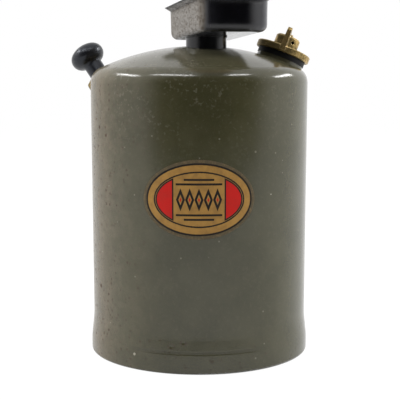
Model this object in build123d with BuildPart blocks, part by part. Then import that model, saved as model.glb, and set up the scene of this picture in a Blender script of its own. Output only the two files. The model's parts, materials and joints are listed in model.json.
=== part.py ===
from build123d import *
from math import acos, atan2, cos, degrees, radians, sin, sqrt, tan
import os

# Petrol blowlamp with a one-litre steel tank, in millimetres.
# The tank's axis is Z and it stands on the floor at zero. The front of the tank faces -Y and
# the filler cap is on the +X side. The burner points fifteen degrees to the right of the front,
# and the handle is straight behind it.

# Fits that several pieces share
weld_gap = 0.05
thread_gap = 0.15
slide_gap = 0.1
rest_gap = 0.1
overrun = 4.0

# Tank shell: a drawn steel shell with a domed top and a wider skirt, hemmed round the floor
tank_r = 55.0
tank_height = 155.6
dome_r = 120.0
shoulder_r = 8.0
sheet = 1.0
skirt_step = 1.3
skirt_r = tank_r + skirt_step
skirt_height = 7.0
skirt_flare = 11.5
skirt_round = 40.0
hem_height = 5.5
hem_bend = 1.2

# Tank floor: a pressing raised off the ground, whose flange stands in the hem
floor_rise = 6.5
floor_bend = 2.0

# Neck: a threaded bush welded into the dome ahead of the tank's axis
flame_azimuth = -75.0
neck_offset = 13.5
neck_rise = 3.5
neck_top = tank_height + neck_rise
neck_lean = 2.0
neck_bore_r = 6.6
neck_spigot_wall = 1.4
neck_spigot_r = neck_bore_r + neck_spigot_wall
neck_collar = 2.0
neck_r = neck_spigot_r + neck_collar
neck_length = 10.0

# Preheat dish: a rectangular pressing clamped between the neck and the burner
dish_length = 59.6
dish_width = 33.6
dish_depth = 15.9
dish_draft = 1.2
dish_sheet = 0.8
dish_corner = 4.0
dish_edge = 3.5
dish_forward = 3.6
dish_side = 4.6
lip_out = 2.9
lip_up = 1.7
lip_edge = 1.2
dish_washer_over = 0.4
dish_washer_r = neck_r + dish_washer_over
stem_washer_over = 1.9
stem_washer_r = neck_bore_r + stem_washer_over
washer_thick = 0.6

# Burner body: stem, valve chest and the flange that carries the flame tube
stem_flats = 2 * stem_washer_r
stem_hex_height = 7.0
stem_over = 0.9
stem_r = neck_bore_r + stem_over
stem_thread = 8.0
stem_socket = 5.0
flame_height = 49.0
chest_r = 11.0
chest_back = 16.0
flange_clear = 0.5
flange_back = stem_r + flange_clear
flange_thick = 5.0
chest_chamfer = 1.5

# Vaporiser tube: a hairpin that the flame heats, brazed into the flange
vaporiser_r = 4.0
vaporiser_spread = 13.0
vaporiser_reach = 46.0
vaporiser_socket = 3.0

# Flame tube
flame_r = 23.0
flame_wall = 1.5
flame_length = 97.0
bead_out = 1.3
bead_length = 4.0
bead_chamfer = 0.8
air_hole_r = 3.0
air_hole_count = 8
air_row_first = 12.0
air_row_pitch = 9.0
tube_screw_count = 3
tube_screw_r = 1.5
tube_screw_length = 6.0
tube_screw_head_r = 3.0
tube_screw_head = 1.6
tube_slot_depth = 0.8

# Jet nipple
jet_flats = 8.0
jet_hex = 4.0
jet_cone = 6.0
jet_tip_r = 1.5
jet_bore_r = 1.1
jet_orifice_r = 0.35
jet_orifice = 3.0
jet_tail = 6.0

# Control valve: needle spindle, packing, gland nut and hand wheel
spindle_r = 3.0
needle_r = 0.8
needle_start = 2.0
needle_cone = 3.0
needle_end = 17.0
packing_r = 6.0
packing_depth = 8.0
gland_spigot = 3.0
gland_flats = 14.0
gland_head = 6.0
wheel_seat = 62.0
wheel_thick = 11.0
wheel_r = 15.0
wheel_hub_r = 7.5
wheel_hub = 5.0
wheel_chamfer = 1.2
wheel_tenon_r = 2.4
flute_count = 8
flute_r = 4.0
flute_bite = 1.6
wheel_screw_r = 1.4
wheel_screw_length = 7.0
wheel_screw_head_r = 3.8
wheel_screw_head = 2.4
screw_slot = 0.9
screw_slot_depth = 1.1

# Riser tube with its wick and strainer, inside the tank
riser_r = 4.0
riser_wall = 0.8
riser_lift = 8.6
riser_foot = neck_top - floor_rise - floor_bend - riser_lift
wick_gap = 0.2
wick_short = 8.0
strainer_r = 5.8
strainer_wall = 0.6
strainer_height = 13.0
strainer_gap = 2.0

# Filler: bush, gasket and winged cap, square to the dome
filler_place = 20.5
filler_tilt = 21.8
filler_azimuth = 10.2
filler_bore_r = 9.0
filler_wall = 1.5
filler_spigot_r = filler_bore_r + filler_wall
filler_collar = 1.7
filler_bush_r = filler_spigot_r + filler_collar
filler_bush_top = 1.1
filler_depth = 8.0
gasket_over = 0.3
gasket_r = filler_bush_r + gasket_over
gasket_thick = 2.5
cap_over = 1.9
cap_r = filler_bush_r + cap_over
cap_thick = 3.4
cap_edge = 0.4
cap_stem_short = 1.0
boss_r = 6.3
boss_height = 6.3
boss_chamfer = 0.8
wing_turn = -17.5
wing_thick = 3.0
wing_tip_thick = 2.0
wing_height = 9.4
wing_tip = 4.4
wing_tip_r = 2.0
wing_past = 0.4
wing_foot = 0.9

# Relief valve in the filler cap
relief_bore_r = 4.6
relief_plug = 3.0
relief_hole_r = 1.5
relief_disc_r = 4.2
relief_disc_thick = 1.6
relief_guide_r = 1.3
relief_guide = 5.0
relief_spring_r = 3.9
relief_spring_wall = 0.7
relief_ceiling = 5.5
vent_r = 0.9
vent_turn = -76.0
vent_lift = 3.5

# Pump: socket, barrel, cap nut, plunger and foot valve
pump_azimuth = 153.5
pump_tilt = 37.8
pump_stand = 2.9
pump_radius = tank_r + pump_stand
pump_drop = 16.5
pump_z = tank_height - pump_drop
barrel_r = 8.0
barrel_wall = 0.8
barrel_flange = 1.5
barrel_foot = -105.0
pump_thread_over = 1.2
pump_thread_r = barrel_r + pump_thread_over
pump_thread = 9.0
pump_socket_wall = 3.3
pump_socket_r = pump_thread_r + pump_socket_wall
pump_socket_top = -5.0
pump_socket_foot = -26.5
pump_taper_foot = -10.0
pump_taper_in = 2.0
pump_well_wall = 1.5
pump_gasket_thick = 1.0
nut_over = 0.1
nut_r = pump_thread_r + nut_over
nut_flats_in = 1.6
nut_flats = 2 * nut_r - nut_flats_in
nut_shoulder = -1.5
nut_slope = 0.4
nut_slope_r = 8.9
nut_top = 3.1
nut_nose_r = 5.0
rod_r = 2.5
knob_stem_r = 4.9
knob_head_r = 9.2
knob_head_mid = 11.8
knob_rim_r = 4.8
knob_crown = 6.1
knob_waist_r = 1.6
knob_bore = 9.0
cup_height = 6.0
cup_wall = 1.4
cup_web = 1.4
cup_washer_thick = 1.2
cup_washer_r = 5.2
cup_nut_flats = 7.0
cup_nut_thick = 3.0
foot_valve_r = 6.5
foot_valve_length = 13.0
foot_valve_web = 2.0
foot_chamber_r = 4.5
foot_inlet_r = 1.5
foot_plug = 4.0
foot_outlet_r = 1.2
check_disc_gap = 0.5
check_disc_r = foot_chamber_r - check_disc_gap
check_disc_thick = 2.0
check_spring_gap = 1.0
check_spring_r = foot_chamber_r - check_spring_gap
check_spring_wall = 0.7

# Handle behind the tank: two straps, a turned grip and a through rod
grip_stand = 43.0
grip_reach = tank_r + grip_stand
grip_end_r = 10.5
grip_mid_r = 13.5
grip_edge = 1.2
strap_width = 20.0
strap_thick = 2.5
strap_foot = 20.0
strap_drop = 27.6
upper_strap_top = tank_height - strap_drop
lower_strap_low = 36.0
handle_rod_r = 3.0
handle_rod_past = 7.5
handle_washer_r = 6.5
handle_washer_thick = 1.2
handle_nut_flats = 10.0
handle_nut_thick = 5.0


def polar_direction(azimuth, tilt):
    """A unit vector leaning from vertical by the tilt, towards the azimuth."""
    level = sin(radians(tilt))
    return Vector(level * cos(radians(azimuth)), level * sin(radians(azimuth)), cos(radians(tilt)))


def leaning_frame(origin, azimuth, tilt):
    """A plane square to a leaning axis, its x pointing down the slope."""
    return Plane(
        origin=origin, x_dir=polar_direction(azimuth, tilt + 90), z_dir=polar_direction(azimuth, tilt)
    )


# Heights that follow from the tank
dome_centre_z = tank_height - dome_r
shoulder_z = dome_centre_z + sqrt((dome_r - shoulder_r) ** 2 - (tank_r - shoulder_r) ** 2)
dome_start = degrees(atan2(shoulder_z - dome_centre_z, tank_r - shoulder_r))

# Frames that the assemblies are built in
neck_origin = Vector(neck_offset, 0, 0).rotate(Axis.Z, flame_azimuth) + Vector(0, 0, neck_top)
neck_frame = leaning_frame(neck_origin, flame_azimuth, -neck_lean)
flame_frame = Plane(
    origin=neck_frame.offset(flame_height).origin, x_dir=neck_frame.z_dir, z_dir=neck_frame.x_dir
)
filler_origin = Vector(0, 0, dome_centre_z) + polar_direction(filler_azimuth, filler_place) * dome_r
filler_frame = leaning_frame(filler_origin, filler_azimuth, filler_tilt)
pump_origin = Vector(pump_radius, 0, 0).rotate(Axis.Z, pump_azimuth) + Vector(0, 0, pump_z)
pump_frame = leaning_frame(pump_origin, pump_azimuth, pump_tilt)
handle_frame = leaning_frame(Vector(0, 0, 0), flame_azimuth + 180, 0)


def side_of(frame):
    """The plane through a frame's axis, where a turned piece's half section is drawn."""
    return Plane(origin=frame.origin, x_dir=frame.x_dir, z_dir=-frame.y_dir)


def axis_of(frame):
    return Axis(frame.origin, frame.z_dir)


def ring(frame, low, high, outer, inner=0, mode=Mode.ADD):
    """A round slice between two heights on a frame's axis, bored where inner is given."""
    with BuildSketch(frame.offset(low)) as section:
        Circle(outer)
        if inner:
            Circle(inner, mode=Mode.SUBTRACT)
    extrude(section.sketch, amount=high - low, mode=mode)


def hexagon(frame, low, high, flats):
    """A hexagonal slice between two heights on a frame's axis."""
    with BuildSketch(frame.offset(low)) as section:
        RegularPolygon(flats / 2, 6, major_radius=False)
    extrude(section.sketch, amount=high - low)


def turned(frame, outline, mode=Mode.ADD):
    """A solid turned about a frame's axis from (radius, height) points."""
    with BuildSketch(side_of(frame)) as section:
        with BuildLine():
            Polyline(*outline, close=True)
        make_face()
    revolve(section.sketch, axis=axis_of(frame), mode=mode)


def tank_body(grow, mode=Mode.ADD):
    """The space inside the tank's outer surface, grown outwards or shrunk."""
    with BuildSketch(Plane.XZ) as section:
        with BuildLine():
            Polyline(
                (0, shoulder_z),
                (0, 0),
                (skirt_r + grow, 0),
                (skirt_r + grow, skirt_height),
                (tank_r + grow, skirt_height + skirt_flare),
                (tank_r + grow, shoulder_z),
            )
            CenterArc((tank_r - shoulder_r, shoulder_z), shoulder_r + grow, 0, dome_start)
            CenterArc((0, dome_centre_z), dome_r + grow, dome_start, 90 - dome_start)
            Line((0, dome_centre_z + dome_r + grow), (0, shoulder_z))
        make_face()
        if not grow:
            heights = section.vertices().group_by(Axis.Y)
            fillet(heights[1] + heights[2], radius=skirt_round)
    revolve(section.sketch, axis=Axis.Z, mode=mode)


# Radii of the hem's channel, from the skirt inwards
flange_out_r = skirt_r - sheet - slide_gap
flange_in_r = flange_out_r - sheet
lip_out_r = flange_in_r - slide_gap
lip_in_r = lip_out_r - sheet

with BuildPart() as tank_shell:
    tank_body(0)
    tank_body(-sheet, mode=Mode.SUBTRACT)
    ring(Plane.XY, 0, sheet, skirt_r - sheet / 2, lip_in_r)
    ring(Plane.XY, 0, hem_height, lip_out_r, lip_in_r)
    hem_rims = tank_shell.edges().filter_by(GeomType.CIRCLE).group_by(Axis.Z)[0]
    fillet(hem_rims.sort_by(SortBy.RADIUS)[-1], radius=hem_bend)
    chamfer(hem_rims.sort_by(SortBy.RADIUS)[0], length=hem_bend)
    ring(neck_frame, -neck_length - overrun, 0, neck_spigot_r + weld_gap, mode=Mode.SUBTRACT)
    ring(
        filler_frame,
        -filler_depth - overrun,
        overrun,
        filler_spigot_r + weld_gap,
        mode=Mode.SUBTRACT,
    )
    ring(
        pump_frame,
        pump_socket_foot - overrun,
        overrun,
        pump_socket_r + weld_gap,
        mode=Mode.SUBTRACT,
    )

with BuildPart() as tank_floor:
    flange_low = sheet + slide_gap
    bend_top = floor_rise + floor_bend
    turned(
        Plane.XY,
        [
            (flange_in_r, flange_low),
            (flange_out_r, flange_low),
            (flange_out_r, floor_rise),
            (flange_out_r - floor_bend, bend_top),
            (0, bend_top),
            (0, bend_top - sheet),
            (flange_in_r - floor_bend, bend_top - sheet),
            (flange_in_r, floor_rise - sheet),
        ],
    )

with BuildPart() as neck_bush:
    ring(neck_frame, -neck_length, 0, neck_r)
    tank_body(weld_gap, mode=Mode.SUBTRACT)
    ring(neck_frame, -neck_length, -washer_thick, neck_spigot_r)
    ring(neck_frame, -neck_length, 0, neck_bore_r, mode=Mode.SUBTRACT)

# The dish and its washers, stacked on the neck
dish_low = washer_thick
dish_seat = dish_low + dish_sheet
stem_low = dish_seat + washer_thick
clamp_hole_r = neck_bore_r + slide_gap

with BuildPart() as dish_washer:
    ring(neck_frame, 0, dish_low, dish_washer_r, clamp_hole_r)


def dish_outline(height, grow):
    """The dish's rounded rectangle at a height in the neck frame."""
    with BuildSketch(neck_frame.offset(height)) as section:
        with Locations((dish_forward, dish_side)):
            RectangleRounded(dish_length + 2 * grow, dish_width + 2 * grow, dish_corner + grow)
    return section.sketch


with BuildPart() as preheat_dish:
    wall_top = dish_low + dish_depth - lip_up
    rim = dish_low + dish_depth
    draft_out = (wall_top - dish_low) * tan(radians(dish_draft))
    inner_draft_out = (wall_top - dish_seat) * tan(radians(dish_draft))
    loft([dish_outline(dish_low, 0), dish_outline(wall_top, draft_out)])
    fillet(preheat_dish.faces().sort_by(axis_of(neck_frame))[0].edges(), radius=dish_edge)
    loft([dish_outline(wall_top, draft_out), dish_outline(rim, draft_out + lip_out)])
    hollow = loft(
        [
            dish_outline(dish_seat, draft_out - inner_draft_out - dish_sheet),
            dish_outline(wall_top, draft_out - dish_sheet),
        ],
        mode=Mode.PRIVATE,
    )
    hollow_floor = hollow.faces().sort_by(axis_of(neck_frame))[0]
    add(hollow.fillet(dish_edge - dish_sheet, hollow_floor.edges()), mode=Mode.SUBTRACT)
    loft(
        [
            dish_outline(wall_top, draft_out - dish_sheet),
            dish_outline(rim, draft_out + lip_out - lip_edge),
        ],
        mode=Mode.SUBTRACT,
    )
    ring(neck_frame, 0, rim, clamp_hole_r, mode=Mode.SUBTRACT)

with BuildPart() as stem_washer:
    ring(neck_frame, dish_seat, stem_low, stem_washer_r, clamp_hole_r)

# Places along the flame axis, from the stem forwards
flange_front = flange_back + flange_thick
flange_r = flame_r - flame_wall - slide_gap
chest_bore_r = spindle_r + slide_gap
leg_ends = [(vaporiser_spread, 0), (-vaporiser_spread, 0)]
screw_place = flange_back + flange_thick / 2

with BuildPart() as burner_body:
    ring(neck_frame, -stem_thread, stem_low, neck_bore_r - thread_gap)
    hexagon(neck_frame, stem_low, stem_low + stem_hex_height, stem_flats)
    ring(neck_frame, stem_low + stem_hex_height, flame_height, stem_r)
    ring(flame_frame, -chest_back, flange_front, chest_r)
    chamfer(
        burner_body.faces().sort_by(axis_of(flame_frame))[0].edges(), length=chest_chamfer
    )
    ring(flame_frame, flange_back, flange_front, flange_r)
    ring(neck_frame, -stem_thread, -stem_thread + stem_socket, riser_r + weld_gap, mode=Mode.SUBTRACT)
    ring(flame_frame, -chest_back, flange_front, chest_bore_r, mode=Mode.SUBTRACT)
    ring(flame_frame, -chest_back, packing_depth - chest_back, packing_r, mode=Mode.SUBTRACT)
    with BuildSketch(flame_frame.offset(flange_front)):
        with Locations(*leg_ends):
            Circle(vaporiser_r + weld_gap)
    extrude(amount=-vaporiser_socket, mode=Mode.SUBTRACT)
    with Locations(flame_frame.offset(screw_place)):
        with PolarLocations(flame_r, tube_screw_count):
            with Locations(Rotation(0, 90, 0)):
                Cylinder(
                    tube_screw_r + weld_gap, 2 * (tube_screw_length + rest_gap), mode=Mode.SUBTRACT
                )


with BuildPart() as vaporiser_tube:
    leg_start = flange_front - vaporiser_socket
    bend_start = flange_front + vaporiser_reach
    with BuildLine(side_of(flame_frame)) as hairpin:
        Line((vaporiser_spread, leg_start), (vaporiser_spread, bend_start))
        CenterArc((0, bend_start), vaporiser_spread, 0, 180)
        Line((-vaporiser_spread, bend_start), (-vaporiser_spread, leg_start))
    with BuildSketch(flame_frame.offset(leg_start)):
        with Locations((vaporiser_spread, 0)):
            Circle(vaporiser_r)
    sweep(path=hairpin.wire())

with BuildPart() as flame_tube:
    mouth = flange_back + flame_length
    ring(flame_frame, flange_back, mouth, flame_r)
    ring(flame_frame, mouth - bead_length, mouth, flame_r + bead_out)
    bead_edges = flame_tube.edges().filter_by(GeomType.CIRCLE).sort_by(SortBy.RADIUS)[-2:]
    chamfer(bead_edges, length=bead_chamfer)
    ring(flame_frame, flange_back, mouth, flame_r - flame_wall, mode=Mode.SUBTRACT)
    for row in range(2):
        with Locations(flame_frame.offset(flange_back + air_row_first + row * air_row_pitch)):
            with PolarLocations(flame_r, air_hole_count, start_angle=row * 180 / air_hole_count):
                with Locations(Rotation(0, 90, 0)):
                    Cylinder(air_hole_r, 2 * overrun, mode=Mode.SUBTRACT)
    with Locations(flame_frame.offset(screw_place)):
        with PolarLocations(flame_r, tube_screw_count):
            with Locations(Rotation(0, 90, 0)):
                Cylinder(tube_screw_r + weld_gap, 2 * overrun, mode=Mode.SUBTRACT)

with BuildPart() as flame_tube_screws:
    head_align = (Align.CENTER, Align.CENTER, Align.MIN)
    shank_align = (Align.CENTER, Align.CENTER, Align.MAX)
    with Locations(flame_frame.offset(screw_place)):
        with PolarLocations(flame_r, tube_screw_count):
            with Locations(Rotation(0, 90, 0)):
                Cylinder(tube_screw_r, tube_screw_length, align=shank_align)
                Cylinder(tube_screw_head_r, tube_screw_head, align=head_align)
                with Locations((0, 0, tube_screw_head)):
                    Box(screw_slot, 2 * tube_screw_head_r, 2 * tube_slot_depth, mode=Mode.SUBTRACT)

with BuildPart() as jet_nipple:
    jet_shoulder = flange_front + jet_hex
    jet_tip = jet_shoulder + jet_cone
    ring(flame_frame, flange_front - jet_tail, flange_front, spindle_r)
    hexagon(flame_frame, flange_front, jet_shoulder, jet_flats)
    turned(
        flame_frame,
        [(0, jet_shoulder), (jet_flats / 2, jet_shoulder), (jet_tip_r, jet_tip), (0, jet_tip)],
    )
    ring(flame_frame, flange_front - jet_tail, jet_tip, jet_orifice_r, mode=Mode.SUBTRACT)
    ring(
        flame_frame,
        flange_front - jet_tail,
        jet_tip - jet_orifice,
        jet_bore_r,
        mode=Mode.SUBTRACT,
    )

wheel_back = -wheel_seat - wheel_thick

with BuildPart() as valve_spindle:
    turned(
        flame_frame,
        [
            (0, needle_end),
            (jet_orifice_r, needle_end),
            (needle_r, needle_end - needle_cone),
            (needle_r, needle_start + needle_cone),
            (spindle_r, needle_start),
            (spindle_r, -wheel_seat),
            (wheel_tenon_r, -wheel_seat),
            (wheel_tenon_r, wheel_back + rest_gap),
            (0, wheel_back + rest_gap),
        ],
    )
    ring(
        flame_frame,
        wheel_back,
        wheel_back + wheel_screw_length,
        wheel_screw_r + weld_gap,
        mode=Mode.SUBTRACT,
    )

with BuildPart() as gland_packing:
    ring(
        flame_frame,
        gland_spigot - chest_back,
        packing_depth - chest_back,
        packing_r - slide_gap,
        chest_bore_r,
    )

with BuildPart() as gland_nut:
    hexagon(flame_frame, -chest_back - gland_head, -chest_back, gland_flats)
    ring(flame_frame, -chest_back, gland_spigot - chest_back, packing_r - slide_gap)
    ring(
        flame_frame,
        -chest_back - gland_head,
        gland_spigot - chest_back,
        chest_bore_r,
        mode=Mode.SUBTRACT,
    )

with BuildPart() as valve_wheel:
    ring(flame_frame, wheel_back, -wheel_seat, wheel_r)
    with BuildSketch(flame_frame.offset(wheel_back)):
        with PolarLocations(wheel_r + flute_r - flute_bite, flute_count):
            Circle(flute_r)
    extrude(amount=wheel_thick, mode=Mode.SUBTRACT)
    wheel_faces = valve_wheel.faces().filter_by(GeomType.PLANE).sort_by(axis_of(flame_frame))
    chamfer(wheel_faces[0].edges() + wheel_faces[-1].edges(), length=wheel_chamfer)
    ring(flame_frame, -wheel_seat, wheel_hub - wheel_seat, wheel_hub_r)
    ring(
        flame_frame,
        wheel_back,
        -wheel_seat,
        wheel_tenon_r + weld_gap,
        mode=Mode.SUBTRACT,
    )
    ring(
        flame_frame,
        -wheel_seat,
        wheel_hub - wheel_seat,
        spindle_r + weld_gap,
        mode=Mode.SUBTRACT,
    )

with BuildPart() as wheel_screw:
    ring(flame_frame, wheel_back, wheel_back + wheel_screw_length - rest_gap, wheel_screw_r)
    ring(flame_frame, wheel_back - wheel_screw_head, wheel_back, wheel_screw_head_r)
    with BuildSketch(flame_frame.offset(wheel_back - wheel_screw_head)):
        Rectangle(2 * wheel_screw_head_r, screw_slot)
    extrude(amount=screw_slot_depth, mode=Mode.SUBTRACT)

riser_top = -stem_thread + stem_socket

with BuildPart() as riser_tube:
    ring(neck_frame, -riser_foot, riser_top, riser_r, riser_r - riser_wall)

with BuildPart() as riser_wick:
    ring(neck_frame, -riser_foot, riser_top - wick_short, riser_r - riser_wall - wick_gap)

with BuildPart() as riser_strainer:
    strainer_low = -riser_foot - strainer_gap
    ring(neck_frame, strainer_low, strainer_low + strainer_height, strainer_r)
    ring(
        neck_frame,
        strainer_low + strainer_wall,
        -riser_foot,
        strainer_r - strainer_wall,
        mode=Mode.SUBTRACT,
    )
    ring(
        neck_frame,
        -riser_foot,
        strainer_low + strainer_height,
        riser_r + weld_gap,
        mode=Mode.SUBTRACT,
    )

# Places on the filler's axis, from the dome's surface outwards
cap_low = filler_bush_top + gasket_thick
cap_top = cap_low + cap_thick
boss_top = cap_top + boss_height
wing_top = cap_top + wing_height
cap_stem_r = filler_bore_r - thread_gap
cap_stem_low = cap_stem_short - filler_depth

with BuildPart() as filler_bush:
    ring(filler_frame, -filler_depth, filler_bush_top, filler_bush_r)
    tank_body(weld_gap, mode=Mode.SUBTRACT)
    ring(filler_frame, -filler_depth, filler_bush_top, filler_spigot_r)
    ring(filler_frame, -filler_depth, filler_bush_top, filler_bore_r, mode=Mode.SUBTRACT)

with BuildPart() as filler_gasket:
    ring(filler_frame, filler_bush_top, cap_low, gasket_r, filler_bore_r)

wing_out = cap_r + wing_past
wing_low = cap_low + wing_foot
wing_length = filler_frame.y_dir.rotate(axis_of(filler_frame), wing_turn)
wing_side = filler_frame.x_dir.rotate(axis_of(filler_frame), wing_turn)
wing_section = Plane(origin=filler_frame.origin, x_dir=wing_length, z_dir=wing_side)
wing_end = Plane(origin=filler_frame.origin, x_dir=-wing_side, z_dir=wing_length)

with BuildPart() as cap_wings:
    with BuildSketch(wing_section):
        with BuildLine():
            Polyline(
                (-wing_out, wing_low),
                (wing_out, wing_low),
                (wing_out, wing_top),
                (wing_out - wing_tip, wing_top),
                (boss_r - boss_chamfer, boss_top),
                (boss_chamfer - boss_r, boss_top),
                (wing_tip - wing_out, wing_top),
                (-wing_out, wing_top),
                close=True,
            )
        wing_face = make_face()
        tips = wing_face.vertices().group_by(Axis.Y)[-1]
        fillet(tips, radius=wing_tip_r)
    extrude(amount=wing_thick / 2, both=True)
    with BuildSketch(wing_end):
        with BuildLine():
            Polyline(
                (-wing_thick / 2, wing_low),
                (wing_thick / 2, wing_low),
                (wing_tip_thick / 2, wing_top),
                (-wing_tip_thick / 2, wing_top),
                close=True,
            )
        make_face()
    extrude(amount=wing_out, both=True, mode=Mode.INTERSECT)

with BuildPart() as filler_cap:
    ring(filler_frame, cap_low, cap_top, cap_r)
    chamfer(filler_cap.edges().filter_by(GeomType.CIRCLE), length=cap_edge)
    ring(filler_frame, cap_stem_low, cap_low, cap_stem_r)
    turned(
        filler_frame,
        [
            (0, cap_low),
            (boss_r, cap_low),
            (boss_r, boss_top - boss_chamfer),
            (boss_r - boss_chamfer, boss_top),
            (0, boss_top),
        ],
    )
    add(cap_wings.part)
    ring(filler_frame, cap_stem_low, relief_ceiling, relief_bore_r, mode=Mode.SUBTRACT)
    vent_frame = Plane(
        origin=filler_frame.offset(relief_ceiling).origin,
        x_dir=filler_frame.z_dir,
        z_dir=filler_frame.x_dir.rotate(axis_of(filler_frame), vent_turn),
    )
    ring(filler_frame, 0, cap_top + vent_lift + vent_r, vent_r, mode=Mode.SUBTRACT)
    ring(
        vent_frame.shift_origin(filler_frame.offset(cap_top + vent_lift).origin),
        0,
        boss_r + overrun,
        vent_r,
        mode=Mode.SUBTRACT,
    )

plug_top = cap_stem_low + relief_plug
disc_low = plug_top + rest_gap
disc_top = disc_low + relief_disc_thick

with BuildPart() as relief_plug_ring:
    ring(
        filler_frame, cap_stem_low, plug_top, relief_bore_r - weld_gap, relief_hole_r
    )

with BuildPart() as relief_disc:
    ring(filler_frame, disc_low, disc_top, relief_disc_r)
    ring(filler_frame, disc_top, disc_top + relief_guide, relief_guide_r)

with BuildPart() as relief_spring:
    ring(
        filler_frame,
        disc_top,
        relief_ceiling,
        relief_spring_r,
        relief_spring_r - relief_spring_wall,
    )

# Places on the pump's axis, from the middle of its cap nut
thread_foot = pump_socket_top - pump_thread
barrel_seat = thread_foot + barrel_flange
gasket_top = barrel_seat + pump_gasket_thick
barrel_bore_r = barrel_r - barrel_wall
nut_bore_r = rod_r + slide_gap

with BuildPart() as pump_socket:
    ring(pump_frame, pump_taper_foot, overrun, pump_socket_r)
    tank_body(2 * weld_gap, mode=Mode.INTERSECT)
    turned(
        pump_frame,
        [
            (0, pump_socket_foot),
            (pump_socket_r, pump_socket_foot),
            (pump_socket_r, pump_taper_foot),
            (pump_socket_r - pump_taper_in, pump_socket_top),
            (0, pump_socket_top),
        ],
    )
    ring(
        pump_frame,
        pump_socket_top,
        2 * overrun,
        pump_socket_r - pump_well_wall,
        mode=Mode.SUBTRACT,
    )
    ring(pump_frame, thread_foot, pump_socket_top, pump_thread_r, mode=Mode.SUBTRACT)
    ring(pump_frame, pump_socket_foot, thread_foot, barrel_r + weld_gap, mode=Mode.SUBTRACT)

with BuildPart() as pump_barrel:
    ring(pump_frame, barrel_foot, thread_foot, barrel_r)
    ring(pump_frame, thread_foot, barrel_seat, pump_thread_r - weld_gap)
    ring(pump_frame, barrel_foot, barrel_seat, barrel_bore_r, mode=Mode.SUBTRACT)

with BuildPart() as pump_gasket:
    ring(pump_frame, barrel_seat, gasket_top, pump_thread_r - weld_gap, barrel_bore_r)

with BuildPart() as pump_nut:
    hexagon(pump_frame, pump_socket_top, nut_top, nut_flats)
    turned(
        pump_frame,
        [
            (0, pump_socket_top),
            (nut_r, pump_socket_top),
            (nut_r, nut_shoulder),
            (nut_slope_r, nut_slope),
            (nut_nose_r, nut_top),
            (0, nut_top),
        ],
        mode=Mode.INTERSECT,
    )
    ring(pump_frame, gasket_top, pump_socket_top, pump_thread_r - thread_gap)
    ring(pump_frame, gasket_top, nut_top, nut_bore_r, mode=Mode.SUBTRACT)

knob_foot = nut_top + rest_gap
cup_low = barrel_foot + rest_gap
cup_top = cup_low + cup_height

# The knob's head is a bead with a round rim and a flatter crown that meets it smoothly
rim_centre_r = knob_head_r - knob_rim_r
rim_centre = knob_foot + knob_head_mid
crown_drop = (rim_centre_r**2 - (knob_crown - knob_rim_r) ** 2) / (2 * (knob_crown - knob_rim_r))
crown_r = knob_crown + crown_drop
crown_start = degrees(atan2(crown_drop, rim_centre_r))
stem_meets = -degrees(acos((knob_stem_r - rim_centre_r) / knob_rim_r))

with BuildPart() as pump_knob:
    with BuildSketch(side_of(pump_frame)) as knob_section:
        with BuildLine():
            CenterArc((0, rim_centre - crown_drop), crown_r, crown_start, 90 - crown_start)
            rim = CenterArc((rim_centre_r, rim_centre), knob_rim_r, stem_meets, crown_start - stem_meets)
            Polyline(
                rim @ 0, (knob_stem_r, knob_foot), (0, knob_foot), (0, rim_centre + knob_crown)
            )
        make_face()
        fillet(knob_section.vertices().sort_by_distance(rim @ 0)[0], radius=knob_waist_r)
    revolve(axis=axis_of(pump_frame))
    ring(pump_frame, knob_foot, knob_foot + knob_bore, rod_r + weld_gap, mode=Mode.SUBTRACT)

with BuildPart() as pump_rod:
    ring(pump_frame, cup_low, knob_foot + knob_bore - rest_gap, rod_r)

web_low = cup_top - cup_web
washer_hole_r = rod_r + weld_gap

with BuildPart() as plunger_cup:
    ring(pump_frame, cup_low, cup_top, barrel_bore_r - slide_gap, washer_hole_r)
    ring(
        pump_frame,
        cup_low,
        web_low,
        barrel_bore_r - slide_gap - cup_wall,
        mode=Mode.SUBTRACT,
    )

with BuildPart() as plunger_washers:
    ring(pump_frame, cup_top, cup_top + cup_washer_thick, cup_washer_r, washer_hole_r)
    ring(pump_frame, web_low - cup_washer_thick, web_low, cup_washer_r, washer_hole_r)

with BuildPart() as plunger_nut:
    nut_high = web_low - cup_washer_thick
    hexagon(pump_frame, nut_high - cup_nut_thick, nut_high, cup_nut_flats)
    ring(pump_frame, nut_high - cup_nut_thick, nut_high, washer_hole_r, mode=Mode.SUBTRACT)

valve_low = barrel_foot - foot_valve_length
chamber_top = barrel_foot - foot_valve_web

with BuildPart() as foot_valve_body:
    ring(pump_frame, chamber_top, barrel_foot, barrel_r)
    ring(pump_frame, valve_low, chamber_top, foot_valve_r)
    ring(pump_frame, valve_low, chamber_top, foot_chamber_r, mode=Mode.SUBTRACT)
    ring(pump_frame, chamber_top, barrel_foot, foot_inlet_r, mode=Mode.SUBTRACT)

with BuildPart() as foot_valve_plug:
    ring(
        pump_frame,
        valve_low,
        valve_low + foot_plug,
        foot_chamber_r - weld_gap,
        foot_outlet_r,
    )

check_top = chamber_top - rest_gap
check_low = check_top - check_disc_thick

with BuildPart() as check_disc:
    ring(pump_frame, check_low, check_top, check_disc_r)

with BuildPart() as check_spring:
    ring(
        pump_frame,
        valve_low + foot_plug,
        check_low,
        check_spring_r,
        check_spring_r - check_spring_wall,
    )


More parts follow.
